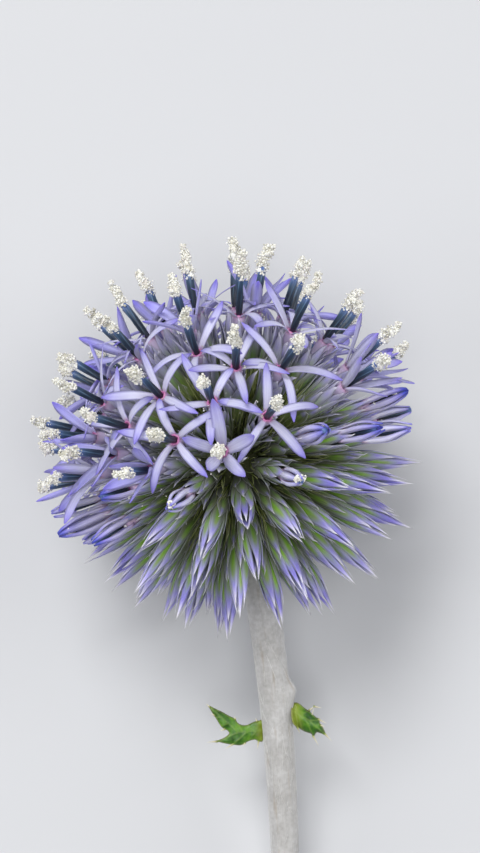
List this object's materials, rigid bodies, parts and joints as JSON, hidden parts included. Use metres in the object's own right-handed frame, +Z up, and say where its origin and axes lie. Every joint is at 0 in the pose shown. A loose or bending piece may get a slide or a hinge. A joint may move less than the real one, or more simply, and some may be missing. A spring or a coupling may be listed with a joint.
{
  "type": "globe thistle flower head",
  "caption": "Cut globe thistle flower head lying on its side: a ball of needle-tipped bracts and open lilac florets with pollen-topped anthers, on a short felted stem with two spiny leaves",
  "frame": {"origin": "the spot on the surface under the centre of the ball, where the lowest bract tips are pressed flat", "axes": "+Z up, away from the surface the flower lies on; +Y towards the crown, with the stem running back towards -Y; +X to the right as the flower is seen from above"},
  "size_m": [0.0449, 0.0864, 0.0434],
  "materials": {
    "involucres": "grey-green bracts, green along the midrib, lavender above, with pale needle tips",
    "florets": "pale lilac lobes with violet edges, pink throats, slate-blue anthers and cream granular pollen",
    "stem": "matt pale grey felt with faint brown streaks along it",
    "leaves": "fresh green leaf with a yellow-green midrib and straw-coloured spines"
  },
  "bodies": {
    "root": {"involucres": "involucres", "florets": "florets", "stem": "stem", "leaf_left": "leaves", "leaf_right": "leaves"}
  },
  "joints": []
}
